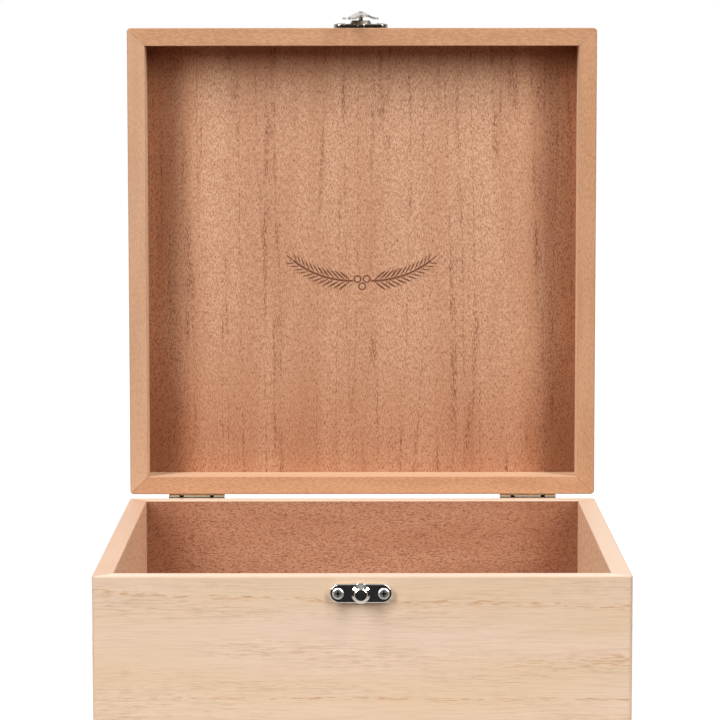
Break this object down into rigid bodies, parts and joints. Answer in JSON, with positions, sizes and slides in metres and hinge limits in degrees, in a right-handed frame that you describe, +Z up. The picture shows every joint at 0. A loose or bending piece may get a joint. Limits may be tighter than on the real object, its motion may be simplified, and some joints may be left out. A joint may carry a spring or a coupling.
{
  "type": "keepsake box",
  "caption": "Square wooden keepsake box with mitred walls and a hinged lid that stands open, pale outside and red-brown inside, shut by a swing-arm clasp.",
  "frame": {"origin": "centre of the underside, on the surface that the box stands on", "axes": "+Z up, +Y to the hinged back, +X to the right as seen from the front, with the lid open"},
  "size_m": [0.3, 0.3394, 0.4351],
  "materials": {
    "board_wood": "bare, fine sanded",
    "panel_wood": "bare, open pores",
    "hinge_metal": "dull antique plate",
    "clasp_nickel": "bright nickel plate"
  },
  "bodies": {
    "base": {"base_front_wall": "board_wood", "base_back_wall": "board_wood", "base_left_wall": "board_wood", "base_right_wall": "board_wood", "base_floor": "panel_wood", "catch_plate": "clasp_nickel", "catch_knob": "clasp_nickel", "catch_plate_screws": "clasp_nickel", "left_hinge_base_leaf": "hinge_metal", "left_hinge_pin": "hinge_metal", "left_hinge_base_screws": "hinge_metal", "right_hinge_base_leaf": "hinge_metal", "right_hinge_pin": "hinge_metal", "right_hinge_base_screws": "hinge_metal"},
    "lid": {"lid_front_rail": "board_wood", "lid_back_rail": "board_wood", "lid_left_rail": "board_wood", "lid_right_rail": "board_wood", "lid_panel": "panel_wood", "clasp_plate": "clasp_nickel", "clasp_rivet": "clasp_nickel", "clasp_plate_screws": "clasp_nickel", "left_hinge_lid_leaf": "hinge_metal", "left_hinge_lid_screws": "hinge_metal", "right_hinge_lid_leaf": "hinge_metal", "right_hinge_lid_screws": "hinge_metal"},
    "swing_arm": {"clasp_swing_arm": "clasp_nickel"}
  },
  "joints": [
    {"name": "lid_hinge", "type": "hinge", "parent": "base", "child": "lid", "pos_m": [0, 0.1522, 0.1221], "axis": [1, 0, 0], "range_deg": [0, 90]},
    {"name": "clasp_swing", "type": "hinge", "parent": "lid", "child": "swing_arm", "pos_m": [-0.00075, 0.1597, 0.4243], "axis": [0, 0, 1], "range_deg": [-66, 24]}
  ]
}
